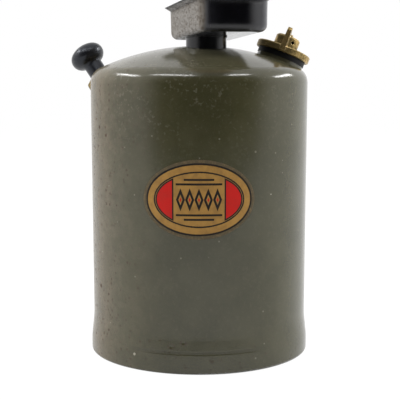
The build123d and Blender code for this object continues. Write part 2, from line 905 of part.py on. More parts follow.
def strap(arm_low, foot_low):
    """A handle strap: an arm reaching out from the tank and a curved foot on its wall."""
    foot_r = tank_r + weld_gap
    with BuildSketch(handle_frame.offset(arm_low)) as arm:
        with Locations((foot_r + strap_thick / 2, 0)):
            Rectangle(
                grip_reach - foot_r - strap_thick / 2, strap_width, align=(Align.MIN, Align.CENTER)
            )
        with Locations((grip_reach, 0)):
            Circle(strap_width / 2)
            Circle(handle_rod_r + slide_gap, mode=Mode.SUBTRACT)
    extrude(arm.sketch, amount=strap_thick)
    with BuildSketch(handle_frame.offset(foot_low)) as foot:
        Circle(foot_r + strap_thick)
        Circle(foot_r, mode=Mode.SUBTRACT)
        Rectangle(
            2 * foot_r, strap_width, align=(Align.MIN, Align.CENTER), mode=Mode.INTERSECT
        )
    extrude(foot.sketch, amount=strap_foot)


grip_axis_frame = handle_frame.shift_origin(handle_frame.from_local_coords((grip_reach, 0, 0)))
grip_low = lower_strap_low + strap_thick
grip_high = upper_strap_top - strap_thick

with BuildPart() as upper_strap:
    strap(grip_high, upper_strap_top - strap_foot)

with BuildPart() as lower_strap:
    strap(lower_strap_low, lower_strap_low)

with BuildPart() as handle_grip:
    with BuildSketch(side_of(grip_axis_frame)):
        with BuildLine():
            Polyline(
                (grip_end_r, grip_high), (handle_rod_r + slide_gap, grip_high),
                (handle_rod_r + slide_gap, grip_low), (grip_end_r, grip_low),
            )
            ThreePointArc(
                (grip_end_r, grip_low),
                (grip_mid_r, (grip_low + grip_high) / 2),
                (grip_end_r, grip_high),
            )
        make_face()
    revolve(axis=axis_of(grip_axis_frame))
    end_rims = handle_grip.edges().filter_by(GeomType.CIRCLE).filter_by(
        lambda edge: edge.radius > handle_washer_r
    )
    chamfer(end_rims, length=grip_edge)

washer_outside = upper_strap_top + handle_washer_thick
washer_below = lower_strap_low - handle_washer_thick

with BuildPart() as handle_rod:
    ring(
        grip_axis_frame,
        washer_below - handle_rod_past,
        washer_outside + handle_rod_past,
        handle_rod_r,
    )

with BuildPart() as handle_washers:
    rod_hole_r = handle_rod_r + slide_gap
    ring(grip_axis_frame, upper_strap_top, washer_outside, handle_washer_r, rod_hole_r)
    ring(grip_axis_frame, washer_below, lower_strap_low, handle_washer_r, rod_hole_r)

with BuildPart() as handle_nuts:
    hexagon(
        grip_axis_frame, washer_outside, washer_outside + handle_nut_thick, handle_nut_flats
    )
    hexagon(grip_axis_frame, washer_below - handle_nut_thick, washer_below, handle_nut_flats)
    ring(
        grip_axis_frame,
        washer_below - handle_nut_thick,
        washer_outside + handle_nut_thick,
        rod_hole_r,
        mode=Mode.SUBTRACT,
    )

pieces = {
    "tank_shell": tank_shell,
    "tank_floor": tank_floor,
    "neck_bush": neck_bush,
    "dish_washer": dish_washer,
    "preheat_dish": preheat_dish,
    "stem_washer": stem_washer,
    "burner_body": burner_body,
    "vaporiser_tube": vaporiser_tube,
    "flame_tube": flame_tube,
    "flame_tube_screws": flame_tube_screws,
    "jet_nipple": jet_nipple,
    "valve_spindle": valve_spindle,
    "gland_packing": gland_packing,
    "gland_nut": gland_nut,
    "valve_wheel": valve_wheel,
    "wheel_screw": wheel_screw,
    "riser_tube": riser_tube,
    "riser_wick": riser_wick,
    "riser_strainer": riser_strainer,
    "filler_bush": filler_bush,
    "filler_gasket": filler_gasket,
    "filler_cap": filler_cap,
    "relief_plug": relief_plug_ring,
    "relief_disc": relief_disc,
    "relief_spring": relief_spring,
    "pump_socket": pump_socket,
    "pump_barrel": pump_barrel,
    "pump_gasket": pump_gasket,
    "pump_nut": pump_nut,
    "pump_rod": pump_rod,
    "pump_knob": pump_knob,
    "plunger_cup": plunger_cup,
    "plunger_washers": plunger_washers,
    "plunger_nut": plunger_nut,
    "foot_valve_body": foot_valve_body,
    "foot_valve_plug": foot_valve_plug,
    "check_disc": check_disc,
    "check_spring": check_spring,
    "upper_strap": upper_strap,
    "lower_strap": lower_strap,
    "handle_grip": handle_grip,
    "handle_rod": handle_rod,
    "handle_washers": handle_washers,
    "handle_nuts": handle_nuts,
}

os.makedirs("parts", exist_ok=True)
for name, piece in pieces.items():
    piece.part.label = name
    export_step(piece.part, f"parts/{name}.step")
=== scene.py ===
import json
import math

import bpy
from bpy.props import FloatProperty, FloatVectorProperty, PointerProperty
from bpy.types import Operator, Panel, PropertyGroup
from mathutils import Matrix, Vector


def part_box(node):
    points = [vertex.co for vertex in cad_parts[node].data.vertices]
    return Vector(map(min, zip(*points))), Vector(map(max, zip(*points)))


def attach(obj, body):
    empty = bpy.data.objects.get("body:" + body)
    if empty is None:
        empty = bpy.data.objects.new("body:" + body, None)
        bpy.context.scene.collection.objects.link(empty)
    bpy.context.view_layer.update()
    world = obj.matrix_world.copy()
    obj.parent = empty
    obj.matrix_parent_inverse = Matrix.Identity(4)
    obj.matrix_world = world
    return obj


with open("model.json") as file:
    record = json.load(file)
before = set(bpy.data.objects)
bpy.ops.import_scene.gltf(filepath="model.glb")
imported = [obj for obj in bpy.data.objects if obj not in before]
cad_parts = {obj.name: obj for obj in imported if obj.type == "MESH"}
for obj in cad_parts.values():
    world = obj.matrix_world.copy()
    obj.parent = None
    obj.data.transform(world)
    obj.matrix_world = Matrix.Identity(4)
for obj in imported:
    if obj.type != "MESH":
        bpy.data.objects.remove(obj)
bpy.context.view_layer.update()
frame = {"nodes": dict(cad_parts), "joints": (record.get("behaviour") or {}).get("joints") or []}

bl_info = {
    "name": "Petrol Blowlamp",
    "version": (1, 0, 0),
    "blender": (4, 5, 0),
    "location": "View3D > Sidebar > Blowlamp",
    "description": "Finishes a petrol blowlamp: paint, enamel, brass, heat tints, a front decal and a studio",
    "category": "Object",
}

MM = 0.001
JOINTS = {joint["name"]: joint for joint in frame["joints"]}

# Places that the finishes are laid out from, in millimetres or as directions
FLAME_ORIGIN = Vector(JOINTS["valve_turn"]["pos_m"]) / MM
FLAME_AXIS = -Vector(JOINTS["valve_turn"]["axis"])
FILLER_ORIGIN = Vector(JOINTS["cap_turn"]["pos_m"]) / MM

# The radius of the tank's wall, in metres
TANK_RADIUS = 0.055
WHITE = (1.0, 1.0, 1.0)


def colour(name, note, default):
    return FloatVectorProperty(
        name=name, description=note, default=default, size=3, subtype="COLOR", min=0.0, max=1.0
    )


def length(name, note, default):
    return FloatProperty(
        name=name, description=note, default=default, unit="LENGTH", subtype="DISTANCE", min=0.0
    )


def share(name, note, default):
    return FloatProperty(
        name=name, description=note, default=default, subtype="FACTOR", min=0.0, max=1.0
    )


class Link:
    """An output of a shader node. Arithmetic on it adds Math nodes."""

    def __init__(self, shader, output):
        self.shader = shader
        self.output = output

    def math(self, operation, *values):
        return self.shader.node("Math", {"operation": operation}, dict(enumerate(values)))

    def __add__(self, other):
        return self.math("ADD", self, other)

    def __radd__(self, other):
        return self.math("ADD", other, self)

    def __sub__(self, other):
        return self.math("SUBTRACT", self, other)

    def __rsub__(self, other):
        return self.math("SUBTRACT", other, self)

    def __mul__(self, other):
        return self.math("MULTIPLY", self, other)

    def __rmul__(self, other):
        return self.math("MULTIPLY", other, self)

    def __truediv__(self, other):
        return self.math("DIVIDE", self, other)

    def __pow__(self, other):
        return self.math("POWER", self, other)

    def __lt__(self, other):
        return self.math("LESS_THAN", self, other)

    def __abs__(self):
        return self.math("ABSOLUTE", self)

    def __neg__(self):
        return self.math("MULTIPLY", self, -1.0)

    def root(self):
        return self.math("SQRT", self)

    def lower(self, other):
        return self.math("MINIMUM", self, other)

    def higher(self, other):
        return self.math("MAXIMUM", self, other)

    def fold(self, size):
        """A zigzag between 0 and size."""
        return self.math("PINGPONG", self, size)

    def step(self, low, high):
        """A smooth step from 0 at low to 1 at high."""
        return self.shader.node(
            "MapRange",
            {"interpolation_type": "SMOOTHSTEP"},
            {"Value": self, "From Min": low, "From Max": high},
        )

    def band(self, middle, half, soft):
        """1 within half of middle, falling to 0 over soft."""
        return abs(self - middle).step(half + soft, half)


class Shader:
    """The node tree of one material, on the object's own coordinates in millimetres."""

    def __init__(self, name, tree=None):
        if tree is None:
            self.material = bpy.data.materials.new(name)
            self.material.use_nodes = True
            tree = self.material.node_tree
        self.tree = tree
        self.tree.nodes.clear()

    def node(self, kind, settings=None, values=None, output=0):
        """Adds a node, sets its settings and then its sockets, and returns one output."""
        node = self.tree.nodes.new("ShaderNode" + kind)
        for name, value in (settings or {}).items():
            if name == "stops":
                ramp = node.color_ramp
                while len(ramp.elements) < len(value):
                    ramp.elements.new(1.0)
                for element, (place, tint) in zip(ramp.elements, value):
                    element.position = place
                    element.color = (*tint, 1.0)
            else:
                setattr(node, name, value)
        for socket, value in (values or {}).items():
            target = node.inputs[socket]
            if isinstance(value, Link):
                self.tree.links.new(value.output, target)
            elif hasattr(value, "__len__") and target.type == "RGBA":
                target.default_value = (*value, 1.0)
            else:
                target.default_value = value
        return Link(self, node.outputs[output]) if node.outputs else None

    def place(self, stretch=(1.0, 1.0, 1.0), origin=(0.0, 0.0, 0.0)):
        """Object coordinates in millimetres, moved to an origin and stretched."""
        here = self.node("TexCoord", output=3)
        here = self.node("VectorMath", {"operation": "SCALE"}, {0: here, 3: 1.0 / MM})
        here = self.node("VectorMath", {"operation": "SUBTRACT"}, {0: here, 1: tuple(origin)})
        return self.node("Mapping", {"vector_type": "POINT"}, {0: here, 3: tuple(stretch)})

    def along(self, origin, axis):
        """How far a point lies along an axis from its origin, in millimetres."""
        here = self.place(origin=origin)
        return self.node(
            "VectorMath", {"operation": "DOT_PRODUCT"}, {0: here, 1: tuple(axis)}, output=1
        )

    def axes(self):
        """The object's x, y and z in millimetres."""
        split = self.node("SeparateXYZ", values={0: self.place()})
        outputs = split.output.node.outputs
        return [Link(self, output) for output in outputs]

    def noise(self, size, detail=3.0, rough=0.55, warp=0.0, where=None):
        """Noise whose features are about size millimetres across, around 0.5."""
        return self.node(
            "TexNoise",
            {"noise_dimensions": "3D"},
            {
                "Vector": where or self.place(),
                "Scale": 1.0 / size,
                "Detail": detail,
                "Roughness": rough,
                "Distortion": warp,
            },
        )

    def dots(self, pitch, radius, share_of_cells):
        """Scattered dots: 1 on a dot, 0 off it. Radius is the largest dot's, in millimetres."""
        cells = self.node(
            "TexVoronoi",
            {"feature": "F1"},
            {"Vector": self.place(), "Scale": 1.0 / pitch, "Randomness": 1.0},
        )
        outputs = cells.output.node.outputs
        chance = self.node("SeparateColor", values={0: Link(self, outputs[1])})
        spread = Link(self, chance.output.node.outputs[1])
        reach = (spread * 0.7 + 0.3) * (radius / pitch)
        inside = (cells / reach).step(1.0, 0.6)
        return inside * (chance < share_of_cells)

    def mix(self, factor, first, second):
        return self.node("Mix", {"data_type": "RGBA"}, {0: factor, 6: first, 7: second}, output=2)

    def painted(self, ground, *layers):
        """A ground colour under layers, each of them a mask and its colour."""
        for mask, tint in layers:
            ground = self.mix(mask, ground, tint)
        return ground

    def ramp(self, factor, *stops):
        return self.node("ValToRGB", {"stops": stops}, {0: factor})

    def bump(self, height, depth, under=None):
        """Bumps of depth millimetres for a height from 0 to 1."""
        values = {"Height": height, "Strength": 1.0, "Distance": depth * MM}
        if under is not None:
            values["Normal"] = under
        return self.node("Bump", values=values)

    def rounded(self, radius):
        """The normal that edges rounded by radius millimetres would have."""
        return self.node("Bevel", {"samples": 6}, {"Radius": radius * MM})

    def edges(self, radius, strength):
        """1 along edges, sooner with more strength, and 0 on flat faces."""
        turned = self.rounded(radius)
        flat = self.node("NewGeometry", output=1)
        facing = self.node(
            "VectorMath", {"operation": "DOT_PRODUCT"}, {0: turned, 1: flat}, output=1
        )
        return ((1.0 - facing) * strength).lower(1.0)

    def principled(self, **values):
        sockets = {name.replace("_", " "): value for name, value in values.items()}
        return self.node("BsdfPrincipled", values=sockets)

    def surface(self, **values):
        """Ends the material in a Principled shader with these sockets."""
        self.node("OutputMaterial", values={0: self.principled(**values)})
        return self.material

    def dulled_surface(self, dull, **values):
        """As surface, but with hardly any gloss where dull is 1."""
        glossy = self.principled(**values)
        values.update(Roughness=0.8, IOR=1.05)
        shown = self.node("MixShader", values={0: dull, 1: glossy, 2: self.principled(**values)})
        self.node("OutputMaterial", values={0: shown})
        return self.material


def finish(nodes, material):
    """Puts a material on CAD nodes."""
    for name in nodes:
        for slot in frame["nodes"][name].material_slots:
            slot.material = material


class StudioSettings(PropertyGroup):
    camera_side: length("Camera side", "Camera's distance right of the tank's axis", 0.00046)
    camera_distance: length("Camera distance", "Camera's distance in front of the tank's axis", 0.503)
    camera_height: length("Camera height", "Camera's height above the floor", 0.1384)
    camera_tilt: FloatProperty(
        name="Camera tilt",
        description="How far the camera looks below the horizon",
        default=math.radians(8.9),
        subtype="ANGLE",
    )
    focal_length: FloatProperty(
        name="Focal length", description="Lens on a 36 mm sensor", default=87.75, unit="CAMERA"
    )
    shift: FloatProperty(name="Shift", description="The lens's vertical shift", default=0.0825)
    tent_level: share("Tent level", "Brightness of the white tent round the object", 1.0)
    drape_level: share("Drape level", "Brightness of the dark drape in front", 0.02)
    drape_reach: length("Drape reach", "Radius of the sphere that the drape lies on", 2.5)
    floor_size: length("Floor size", "Side of the square floor", 4.0)
    floor_shift: length("Floor shift", "How far behind the tank the floor's middle is", 1.2)
    paper: share("Paper", "How much light the floor throws back at the object", 0.65)
    shadow: share("Shadow", "How strongly the object's shadow shows on the floor", 0.07)
    lamp_distance: length("Lamp distance", "From the lamps to the point that they face", 1.15)
    lamp_aim: length("Lamp aim", "Height above the floor that the lamps face", 0.14)
    strip_power: FloatProperty(
        name="Strip power", description="Power of each strip lamp over the tank", default=3.6
    )
    side_power: FloatProperty(
        name="Side power", description="Power of each soft lamp beside the tank", default=14.0
    )


class PaintSettings(PropertyGroup):
    olive: colour("Olive", "Stove enamel of the tank", (0.033, 0.0315, 0.0125))
    faded: colour("Faded olive", "The same enamel where it is thin or faded", (0.047, 0.0445, 0.021))
    stain: colour("Stain", "Brown staining on the tank's left side", (0.11, 0.085, 0.054))
    pit: colour("Pit", "Rust in pits and chips", (0.035, 0.018, 0.01))
    dust: colour("Dust", "Pale specks", (0.42, 0.39, 0.31))
    # Painted shade: the dark colour laid in the crease at the tank's foot
    shaded_crease: colour("Crease", "Grime in the crease at the tank's foot", (0.02, 0.018, 0.009))
    enamel: colour("Black enamel", "Enamel of the dish and the neck", (0.002, 0.002, 0.0028))
    cloud: colour("Clouded enamel", "Black enamel where it is clouded", (0.01, 0.01, 0.0105))
    # Painted reflection: the pale grey-blue at both ends of the dish's front
    end_reflection: colour("Hazed enamel", "Enamel at both ends of the dish's front", (0.06, 0.06, 0.072))
    # Partly painted light: the pale colour of the dish's left side stands in for its bright reflection
    burnt_and_lit: colour("Burnt enamel", "Enamel on the dish's left side", (0.14, 0.12, 0.092))
    char: colour("Char", "Dark specks on the burnt side", (0.045, 0.034, 0.024))
    scuff: colour("Scuff", "Enamel where edges have worn", (0.16, 0.15, 0.14))


class DecalSettings(PropertyGroup):
    width: length("Width", "Width of the decal along the tank's wall", 0.051)
    height: length("Height", "Height of the decal", 0.034)
    centre: length("Centre height", "Height of the decal's middle above the floor", 0.0837)
    thickness: length("Thickness", "Thickness of the decal's film", 0.00005)
    gold: colour("Gold", "Printed gold ground", (0.3, 0.165, 0.04))
    red: colour("Red", "Printed red", (0.42, 0.008, 0.005))
    ink: colour("Ink", "Printed black", (0.005, 0.005, 0.005))
    dull_gold: colour("Dull gold", "Gold where it has dulled", (0.2, 0.105, 0.03))
    film: colour("Film", "Bare film round the print", (0.075, 0.058, 0.032))
    yellowed: colour("Yellowed film", "Film where it has yellowed", (0.16, 0.11, 0.05))
    grime: colour("Grime", "Brown grime over the print", (0.05, 0.03, 0.018))


class MetalSettings(PropertyGroup):
    brass: colour("Brass", "Worn brass", (0.66, 0.46, 0.18))
    # This colour also lays the painted shade on the filler cap's left
    tarnish: colour("Tarnish", "Brass where it has darkened", (0.1, 0.083, 0.035))
    bright: colour("Bright brass", "Brass rubbed bright on edges", (0.8, 0.64, 0.38))
    scorch: colour("Scorch", "Brass darkened by heat", (0.07, 0.045, 0.025))
    steel: colour("Steel", "Bare steel", (0.42, 0.41, 0.39))
    dull_steel: colour("Dull steel", "Steel where it has dulled", (0.2, 0.19, 0.18))
    rust: colour("Rust", "Rust on bare steel", (0.12, 0.05, 0.02))
    soot: colour("Soot", "Soot round the flame tube's mouth", (0.012, 0.011, 0.01))


class SoftSettings(PropertyGroup):
    bakelite: colour("Bakelite", "Black phenolic moulding", (0.005, 0.0055, 0.0075))
    bloom: colour("Bloom", "Clouds in the moulding's gloss", (0.014, 0.013, 0.013))
    rubbed: colour("Rubbed moulding", "Moulding where edges have worn", (0.06, 0.055, 0.05))
    rubber: colour("Rubber", "Fuel-proof rubber", (0.0035, 0.0035, 0.0035))
    leather: colour("Leather", "Greased leather", (0.09, 0.04, 0.018))
    cotton: colour("Cotton", "Cotton wick", (0.5, 0.42, 0.28))
    graphite: colour("Graphite", "Graphited cord", (0.02, 0.02, 0.022))
    wood: colour("Wood", "Stained hardwood", (0.16, 0.055, 0.02))
    grain: colour("Grain", "Dark grain of the hardwood", (0.045, 0.015, 0.006))
    pores: colour("Pores", "Open pores of the hardwood", (0.012, 0.006, 0.003))
    worn_wood: colour("Worn wood", "Hardwood where the varnish is gone", (0.28, 0.12, 0.05))


class LAMP_OT_stage(Operator):
    """Make the floor, the white tent, the lamps and the camera"""

    bl_idname = "lamp.stage"
    bl_label = "Stage"

    def execute(self, context):
        settings = context.scene.lamp_studio
        world_tent(context.scene, settings)
        dark_drape(settings)
        white_floor(settings)
        studio_lamps(settings)
        photo_camera(context.scene, settings)
        context.scene.view_settings.view_transform = "Standard"
        return {"FINISHED"}


def world_tent(scene, settings):
    world = bpy.data.worlds.new("tent")
    world.use_nodes = True
    scene.world = world
    shader = Shader("tent", world.node_tree)
    background = shader.node("Background", values={0: WHITE, 1: settings.tent_level})
    shader.node("OutputWorld", values={0: background})


def dark_drape(settings):
    """A dark drape across the tent's front, which the tank mirrors and no camera shows."""
    bpy.ops.mesh.primitive_uv_sphere_add(segments=64, ring_count=32, radius=settings.drape_reach)
    drape = bpy.context.object
    drape.name = "drape"
    drape.visible_camera = False
    shader = Shader("dark_drape")
    split = shader.node("SeparateXYZ", values={0: shader.node("TexCoord", output=3)})
    outputs = split.output.node.outputs
    side, depth, rise = (Link(shader, output) / settings.drape_reach for output in outputs)
    # The drape's edges are soft, and its left one lies further round to the front
    left_share, front_share = 0.35, 0.985
    ahead = side.lower(0.0) * left_share - depth * front_share
    cover = ahead.step(0.05, 0.64) * (1.0 - rise.step(0.6, 0.97))
    clear = shader.node("BsdfTransparent", values={0: WHITE})
    cloth = shader.node("Emission", values={0: WHITE, 1: settings.drape_level})
    shown = shader.node("MixShader", values={0: cover, 1: clear, 2: cloth})
    shader.node("OutputMaterial", values={0: shown})
    drape.data.materials.append(shader.material)


def white_floor(settings):
    """Paper that lights the object from below and shows as white with a faint shadow."""
    bpy.ops.mesh.primitive_plane_add(
        size=settings.floor_size, location=(0.0, settings.floor_shift, 0.0)
    )
    floor = bpy.context.object
    floor.name = "floor"
    bpy.ops.object.transform_apply()
    shader = Shader("white_floor")
    rays = shader.node("LightPath").output.node.outputs
    camera, glossy, transmission = (Link(shader, rays[place]) for place in (0, 3, 6))
    seen = (camera + glossy + transmission).lower(1.0)
    paper = shader.node("BsdfDiffuse", values={0: settings.paper + (1.0 - settings.paper) * seen})
    glow = shader.node("Emission", values={0: WHITE, 1: 1.0})
    shown = shader.node("MixShader", values={0: seen * (1.0 - settings.shadow), 1: paper, 2: glow})
    shader.node("OutputMaterial", values={0: shown})
    floor.data.materials.append(shader.material)


def studio_lamps(settings):
    """Strips overhead, which the shoulder mirrors as a broken bright line, and soft side lamps."""
    strip_height = 0.09
    for name, azimuth, rise, width in (
        ("strip_left", -92.0, 36.0, 0.6),
        ("strip_front_left", -34.0, 49.0, 0.75),
        ("strip_front_right", 45.0, 48.0, 0.6),
        ("strip_right", 107.0, 27.0, 0.6),
    ):
        area_lamp(settings, name, azimuth, rise, (width, strip_height), settings.strip_power)
    side_azimuth, side_rise, side_size = 104.0, 13.0, (1.2, 0.5)
    for name, azimuth in (("side_left", -side_azimuth), ("side_right", side_azimuth)):
        lamp = area_lamp(settings, name, azimuth, side_rise, side_size, settings.side_power)
        lamp.visible_glossy = False


def area_lamp(settings, name, azimuth, rise, size, power):
    """A lamp facing the tank's shoulder, with its azimuth from the camera's side."""
    turn, lift = math.radians(azimuth), math.radians(rise)
    way = Vector((math.sin(turn) * math.cos(lift), -math.cos(turn) * math.cos(lift), math.sin(lift)))
    lamp = bpy.data.lights.new(name, "AREA")
    lamp.shape = "RECTANGLE"
    lamp.size, lamp.size_y = size
    lamp.energy = power
    placed = bpy.data.objects.new(name, lamp)
    placed.location = Vector((0.0, 0.0, settings.lamp_aim)) + way * settings.lamp_distance
    placed.rotation_euler = way.to_track_quat("Z", "Y").to_euler()
    bpy.context.scene.collection.objects.link(placed)
    return placed


def photo_camera(scene, settings):
    bpy.ops.object.camera_add(
        location=(settings.camera_side, -settings.camera_distance, settings.camera_height),
        rotation=(math.pi / 2 - settings.camera_tilt, 0.0, 0.0),
    )
    camera = bpy.context.object
    camera.data.lens = settings.focal_length
    camera.data.sensor_width = 36.0
    camera.data.shift_y = settings.shift
    camera.data.clip_start, camera.data.clip_end = 0.02, 50.0
    scene.camera = camera


class LAMP_OT_painted_sheet(Operator):
    """Paint the tank, its collars and the handle's straps olive"""

    bl_idname = "lamp.painted_sheet"
    bl_label = "Olive paint"

    def execute(self, context):
        paint = context.scene.lamp_paint
        finish(["tank_shell"], olive_paint("tank_paint", paint, True))
        finish(
            ["tank_floor", "filler_bush", "pump_socket", "upper_strap", "lower_strap"],
            olive_paint("fitting_paint", paint, False),
        )
        return {"FINISHED"}


def olive_paint(name, paint, dented):
    """Glossy olive enamel, stained and pitted on its left, with a pale film on the dome that is partly dust
    and partly painted light. Dented adds the marks at the tank's foot.
    """
    shader = Shader(name)
    x, _, z = shader.axes()
    # Where marks set in and where they are full, from the tank's axis and the floor
    stained = (-x).step(8.0, 52.0)
    edge = (-x).step(38.0, 48.0)
    foot = z.step(28.0, 8.0)
    upper = z.step(98.0, 130.0) * (0.35 + 0.65 * x.step(28.0, -6.0))
    # A pale film over the dome, more on the left: partly dust, partly painted light that makes the top
    # lighter
    dust_and_top_light = z.step(136.0, 145.0) * (0.04 + 0.06 * x.step(28.0, -20.0))
    grain = shader.noise(0.75, 3.0, 0.7)
    cloud = shader.noise(26.0, 4.0, 0.6).step(0.35, 0.7)
    blotch = shader.noise(7.0, 5.0, 0.65).step(0.42, 0.62)
    grime = shader.noise(2.2, 5.0, 0.7).step(0.54, 0.72)
    pits = rust_pits(shader) * (0.05 + 0.9 * stained.higher(0.5 * foot))
    pale = pale_specks(shader, upper)
    chipped = shader.edges(0.5, 5.0) * shader.noise(1.6, 4.0, 0.6).step(0.5, 0.68)
    tint = shader.painted(
        paint.olive,
        (cloud, paint.faded),
        (stained * (0.12 + 0.28 * blotch) + 0.4 * edge, paint.stain),
        (grain.step(0.4, 0.75) * 0.55, paint.faded),
        (grime * (0.16 + 0.4 * stained), paint.pit),
        (pits, paint.pit),
        ((pale * 0.7 + dust_and_top_light).lower(1.0), paint.dust),
        (chipped * 0.6, paint.pit),
    )
    height = grain * 0.5 - pits * 0.8 + pale * 0.35
    if dented:
        tint, height = foot_marks(shader, paint, tint, height)
    rough = 0.12 + 0.08 * shader.noise(4.0, 4.0, 0.6) + 0.25 * pale
    waves = shader.bump(shader.noise(16.0, 2.0, 0.5), 0.12)
    normal = shader.bump(height, 0.05, waves)
    dull = (0.6 * pits + 0.2 * edge).lower(0.9)
    return shader.dulled_surface(dull, Base_Color=tint, Roughness=rough, Normal=normal, IOR=1.56)


def rust_pits(shader):
    """Round pits of two sizes, and ragged sores between them."""
    small = shader.dots(2.4, 0.95, 0.4) * 0.7
    large = shader.dots(5.0, 1.3, 0.35)
    sores = shader.noise(1.7, 3.0, 0.6).step(0.6, 0.68) * 0.6
    return (small + large + sores).lower(1.0)


def pale_specks(shader, upper):
    """Pale specks all over, and drifts of faint flecks where upper is 1."""
    drifts = upper * shader.noise(12.0, 2.0, 0.5).step(0.42, 0.58)
    flecks = shader.noise(1.7, 3.0, 0.6, 0.3).step(0.54, 0.68) * (0.2 + 0.8 * drifts)
    small = shader.dots(4.4, 0.7, 0.2) * 0.3
    large = shader.dots(11.0, 1.1, 0.2) * 0.8
    return (small + large + flecks * 0.15).lower(1.0)


def foot_marks(shader, paint, tint, height):
    """Adds the crease above the skirt, darkened as painted shade, and two rust-ringed dimples, all on the
    tank's front.
    """
    x, y, z = shader.axes()
    crease_height, crease_middle = 10.5, -1.0
    tapered = abs(x - crease_middle).step(36.0, 26.0) * (-y).step(10.0, 30.0)
    shaded_crease = z.band(crease_height, 0.5, 0.7) * tapered
    # Painted shade darkens the crease
    tint = shader.mix(shaded_crease * 0.3, tint, paint.shaded_crease)
    height = height - shaded_crease * 0.5
    front = (-y).step(0.0, 20.0)
    # A dimple's place across and up, and its radius
    for across, up, radius in ((-13.2, 13.4, 1.5), (-7.4, 15.4, 1.3)):
        spot = ((x - across) ** 2.0 + ((z - up) * 1.3) ** 2.0).root()
        ring = spot.band(radius, 0.3, 0.5) * shader.noise(1.5).step(0.35, 0.55) * front
        tint = shader.mix(ring * 0.55, tint, paint.pit)
        height = height - spot.step(radius, 0.0) * front
    return tint, height


class LAMP_OT_dish_and_neck(Operator):
    """Enamel the preheating dish and the neck black"""

    bl_idname = "lamp.dish_and_neck"
    bl_label = "Black enamel"

    def execute(self, context):
        paint = context.scene.lamp_paint
        finish(["preheat_dish"], black_enamel("dish_enamel", paint, 3.0, 1.0))
        finish(["neck_bush", "dish_washer"], black_enamel("neck_enamel", paint, 0.3, 0.0))
        return {"FINISHED"}


def black_enamel(name, paint, rounding, pressed):
    """Glossy black enamel. Pressed is 1 for the dish: bowed at its ends, with a painted reflection there, and
    burnt on its left, where the pale colour is partly burnt enamel and partly painted light.
    """
    shader = Shader(name)
    low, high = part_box("preheat_dish")
    across = shader.along((low + high) / 2 / MM, (-FLAME_AXIS.y, FLAME_AXIS.x, 0.0))
    flat_half, bowed, bow_depth = 4.0, 12.7, 6.6
    # The bowed ends, which take a bump and also a painted reflection in their colour
    bow_and_sheen = ((abs(across) - flat_half) / bowed).higher(0.0) ** 2.0 * pressed
    # The dish's left side: char specks, and a pale colour that is partly painted light
    burnt_and_lit = (-across).step(13.0, 15.5) * pressed
    grain = shader.noise(1.1, 5.0, 0.7)
    clouded = grain.step(0.45, 0.7)
    specks = (shader.dots(1.7, 0.95, 0.6) + grain.step(0.5, 0.6)).lower(1.0) * burnt_and_lit
    scuff = shader.noise(0.6, 3.0, 0.6, where=shader.place(stretch=(1.0, 1.0, 0.25)))
    worn = shader.edges(0.35, 6.0) * scuff.step(0.4, 0.62)
    tint = shader.painted(
        paint.enamel,
        (clouded * 0.3, paint.cloud),
        # Painted reflection at both ends of the dish's front
        (bow_and_sheen.lower(1.0) * 0.5, paint.end_reflection),
        # Pale left side, partly burnt enamel and partly painted light
        (burnt_and_lit * 0.62, paint.burnt_and_lit),
        (specks * 0.75, paint.char),
        (worn * 0.5, paint.scuff),
    )
    rough = 0.2 - 0.13 * pressed + 0.06 * clouded + 0.2 * specks
    normal = shader.rounded(rounding)
    if pressed:
        normal = shader.bump(-bow_and_sheen, bow_depth, normal)
    normal = shader.bump(grain * 0.3 + scuff * 0.2 - specks * 0.9, 0.05, normal)
    dull = 0.3 * burnt_and_lit + 0.5 * specks
    return shader.dulled_surface(dull, Base_Color=tint, Roughness=rough, Normal=normal, IOR=1.5)


class LAMP_OT_brass_fittings(Operator):
    """Age the filler cap and the pump's nut, and finish the brass inside"""

    bl_idname = "lamp.brass_fittings"
    bl_label = "Brass fittings"

    def execute(self, context):
        metal = context.scene.lamp_metal
        finish(["filler_cap", "pump_nut"], brass("aged_brass", metal, 1.0))
        finish(
            [
                "jet_nipple",
                "riser_strainer",
                "relief_plug",
                "relief_disc",
                "pump_barrel",
                "plunger_washers",
                "plunger_nut",
                "foot_valve_body",
                "foot_valve_plug",
            ],
            brass("clean_brass", metal, 0.25),
        )
        return {"FINISHED"}


def brass(name, metal, age):
    """Brass with clouds of tarnish, painted shade that darkens it towards the filler cap's left, and worn,
    bright edges. Age is 1 for the oldest.
    """
    shader = Shader(name)
    # Painted shade: the brass darkens towards the left of the filler cap, and the pump's nut, further left,
    # takes all of it
    shaded = shader.along(FILLER_ORIGIN, (-1.0, 0.0, 0.0)).step(-3.0, 9.0) * age
    fine = shader.noise(0.8, 4.0, 0.65)
    cloud = shader.noise(5.0, 5.0, 0.65).step(0.34, 0.6)
    blotch = shader.noise(1.7, 4.0, 0.7).step(0.4, 0.62)
    bare = (shader.edges(0.5, 5.0) * (0.4 + fine)).lower(1.0)
    dark = (cloud * 0.7 + blotch * 0.5).lower(1.0) * age
    dark = (dark + 0.55 * shaded).lower(1.0) * (1.0 - 0.75 * bare)
    spots = shader.dots(1.9, 0.6, 0.4) * age * (1.0 - bare)
    tint = shader.painted(
        metal.brass,
        (dark * 0.85, metal.tarnish),
        (spots * 0.6, metal.scorch),
        (bare * 0.5, metal.bright),
    )
    rough = 0.2 + 0.2 * dark + 0.16 * fine
    height = fine * 0.5 + shader.noise(0.35, 2.0) * 0.3 - spots * 0.5
    normal = shader.bump(height, 0.04, shader.rounded(0.35))
    return shader.surface(Base_Color=tint, Metallic=1.0, Roughness=rough, Normal=normal)


